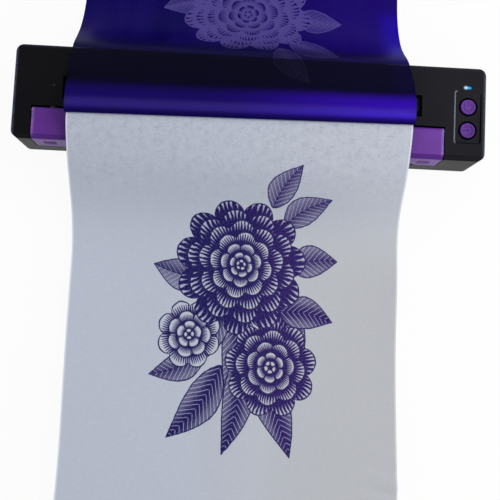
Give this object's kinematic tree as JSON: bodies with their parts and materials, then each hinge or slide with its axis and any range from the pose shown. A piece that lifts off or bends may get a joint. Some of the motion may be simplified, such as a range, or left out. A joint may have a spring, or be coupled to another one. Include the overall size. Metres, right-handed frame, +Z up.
{
  "type": "tattoo stencil printer",
  "caption": "Slim portable thermal stencil printer with a hinged roller cover, two push buttons, a sprung print head and a loaded stencil sheet and carbon film.",
  "frame": {"origin": "middle of the printer body's footprint, on the surface under its rubber feet", "axes": "+X to the end with the buttons, -Y to the cover side where the stencil comes out, +Z up"},
  "size_m": [0.31, 0.524, 0.0571],
  "materials": {
    "black_shell": "matt black, fine moulded texture",
    "purple_shell": "satin purple",
    "black_inner": "matt black",
    "white_inner": "natural white nylon",
    "foot_rubber": "matt",
    "roller_rubber": "fine ground",
    "steel": "bright",
    "black_screw": "blackened",
    "zinc_plate": "zinc plated sheet",
    "brass": "turned",
    "ceramic": "alumina with a glazed heater line",
    "heat_sink": "extruded",
    "board": "green solder mask",
    "chips": "matt black",
    "cells": "foil pouch",
    "lead": "black insulation",
    "ribbon": "white flat cable",
    "lamp": "lit azure",
    "window": "clear, lit azure from below",
    "stencil_paper": "thin white tissue with a violet print",
    "carbon": "thin violet carbon film"
  },
  "bodies": {
    "housing": {"bottom_housing": "black_shell", "top_housing": "black_shell", "rubber_feet": "foot_rubber", "housing_screws": "black_screw", "lower_paper_guide": "black_inner", "paper_sensor": "chips", "chassis_plate": "zinc_plate", "head_pivot_pins": "steel", "gear_plate": "zinc_plate", "gear_stud": "steel", "stepper_motor": "steel", "motor_screws": "steel", "main_board": "board", "board_parts": "chips", "board_screws": "steel", "tact_switches": "chips", "usb_c_socket": "steel", "status_led": "lamp", "light_pipe": "window", "battery_cells": "cells", "battery_tray": "black_inner", "battery_lead": "lead", "motor_lead": "lead", "head_ribbon_cable": "ribbon", "hinge_pin_left": "steel", "hinge_pin_right": "steel", "head_springs": "steel", "carbon_film": "carbon", "stencil_sheet": "stencil_paper"},
    "cover": {"cover_shell": "purple_shell", "cover_inner_frame": "black_inner", "cover_screws": "steel", "platen_bush_left": "brass", "platen_bush_right": "brass"},
    "platen": {"platen_shaft": "steel", "platen_sleeve": "roller_rubber", "platen_gear": "white_inner"},
    "compound_wheel": {"compound_gear": "white_inner"},
    "motor_rotor": {"motor_shaft": "steel", "motor_pinion": "brass"},
    "print_head": {"head_ceramic": "ceramic", "head_driver_cover": "chips", "head_heatsink": "heat_sink", "head_bracket": "zinc_plate"},
    "power_key": {"power_button": "purple_shell", "power_switch_plunger": "chips"},
    "feed_key": {"feed_button": "purple_shell", "feed_switch_plunger": "chips"}
  },
  "joints": [
    {"name": "cover_hinge", "type": "hinge", "parent": "housing", "child": "cover", "pos_m": [0, -0.0122, 0.039], "axis": [-1, 0, 0], "range_deg": [0, 60], "deforming": ["stencil_sheet"]},
    {"name": "platen_spin", "type": "hinge", "parent": "cover", "child": "platen", "pos_m": [0, -0.0076, 0.026], "axis": [1, 0, 0], "continuous": true},
    {"name": "compound_spin", "type": "hinge", "parent": "housing", "child": "compound_wheel", "pos_m": [-0.13, 0.00368, 0.0285], "axis": [1, 0, 0], "continuous": true},
    {"name": "motor_spin", "type": "hinge", "parent": "housing", "child": "motor_rotor", "pos_m": [-0.135, 0.01502, 0.02443], "axis": [1, 0, 0], "continuous": true},
    {"name": "head_swing", "type": "hinge", "parent": "housing", "child": "print_head", "pos_m": [0, 0.008, 0.008], "axis": [-1, 0, 0], "range_deg": [0, 3], "stiffness_Nm_per_rad": 1.9, "springref_deg": -11.46, "deforming": ["head_springs"]},
    {"name": "power_press", "type": "slide", "parent": "housing", "child": "power_key", "axis": [0, 0, -1], "range_m": [0, 0.0005], "stiffness_N_per_m": 800, "springref_m": -0.0005},
    {"name": "feed_press", "type": "slide", "parent": "housing", "child": "feed_key", "axis": [0, 0, -1], "range_m": [0, 0.0005], "stiffness_N_per_m": 800, "springref_m": -0.0005}
  ],
  "couplings": [
    {"joint": "compound_spin", "follows": "platen_spin", "ratio": -1.875},
    {"joint": "motor_spin", "follows": "platen_spin", "ratio": 5.625}
  ]
}
